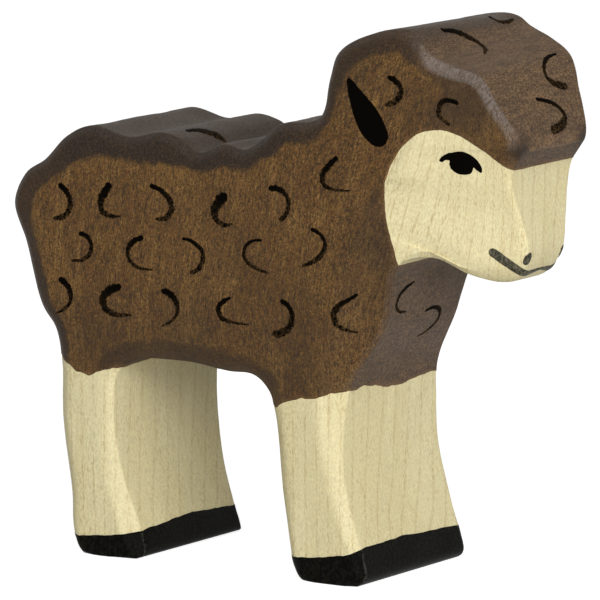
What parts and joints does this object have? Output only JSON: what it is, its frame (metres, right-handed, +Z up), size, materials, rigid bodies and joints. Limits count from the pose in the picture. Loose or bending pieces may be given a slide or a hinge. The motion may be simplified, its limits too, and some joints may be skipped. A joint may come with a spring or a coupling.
{
  "type": "wooden lamb figure",
  "caption": "Standing lamb figure sawn from a thick board, with sanded edges, a tapered bare face, brown stained fleece, painted curls and dark hooves.",
  "frame": {"origin": "on the floor, under the middle of the figure's bounding box", "axes": "+X towards the nose, Y across the board with the right flank at -Y, +Z up"},
  "size_m": [0.0732, 0.026, 0.0695],
  "materials": {
    "bare_wood": "pale close-grained wood, sanded and oiled, grain upright",
    "stained_wood": "thin dark brown stain with the grain showing, worn lighter on the edges",
    "hoof_paint": "black paint over wood, satin",
    "brush_paint": "thin black brush paint over wood, matt, dry at the ends of strokes"
  },
  "bodies": {
    "root": {"wood_blank": "bare_wood", "fleece_stain": "stained_wood", "hind_hoof_paint": "hoof_paint", "front_hoof_paint": "hoof_paint", "right_curl_1": "brush_paint", "right_curl_2": "brush_paint", "right_curl_3": "brush_paint", "right_curl_4": "brush_paint", "right_curl_5": "brush_paint", "right_curl_6": "brush_paint", "right_curl_7": "brush_paint", "right_curl_8": "brush_paint", "right_curl_9": "brush_paint", "right_curl_10": "brush_paint", "right_curl_11": "brush_paint", "right_curl_12": "brush_paint", "right_curl_13": "brush_paint", "right_curl_14": "brush_paint", "right_curl_15": "brush_paint", "right_curl_16": "brush_paint", "right_curl_17": "brush_paint", "left_curl_1": "brush_paint", "left_curl_2": "brush_paint", "left_curl_3": "brush_paint", "left_curl_4": "brush_paint", "left_curl_5": "brush_paint", "left_curl_6": "brush_paint", "left_curl_7": "brush_paint", "left_curl_8": "brush_paint", "left_curl_9": "brush_paint", "left_curl_10": "brush_paint", "left_curl_11": "brush_paint", "left_curl_12": "brush_paint", "left_curl_13": "brush_paint", "left_curl_14": "brush_paint", "left_curl_15": "brush_paint", "left_curl_16": "brush_paint", "left_curl_17": "brush_paint", "right_head_curl_1": "brush_paint", "right_head_curl_2": "brush_paint", "left_head_curl_1": "brush_paint", "left_head_curl_2": "brush_paint", "chest_curl_1": "brush_paint", "chest_curl_2": "brush_paint", "forehead_curl_1": "brush_paint", "forehead_curl_2": "brush_paint", "crown_curl_1": "brush_paint", "crown_curl_2": "brush_paint", "back_curl": "brush_paint", "rump_curl_1": "brush_paint", "rump_curl_2": "brush_paint", "right_ear": "brush_paint", "left_ear": "brush_paint", "right_eye": "brush_paint", "left_eye": "brush_paint", "right_nostril": "brush_paint", "left_nostril": "brush_paint", "mouth": "brush_paint"}
  },
  "joints": []
}
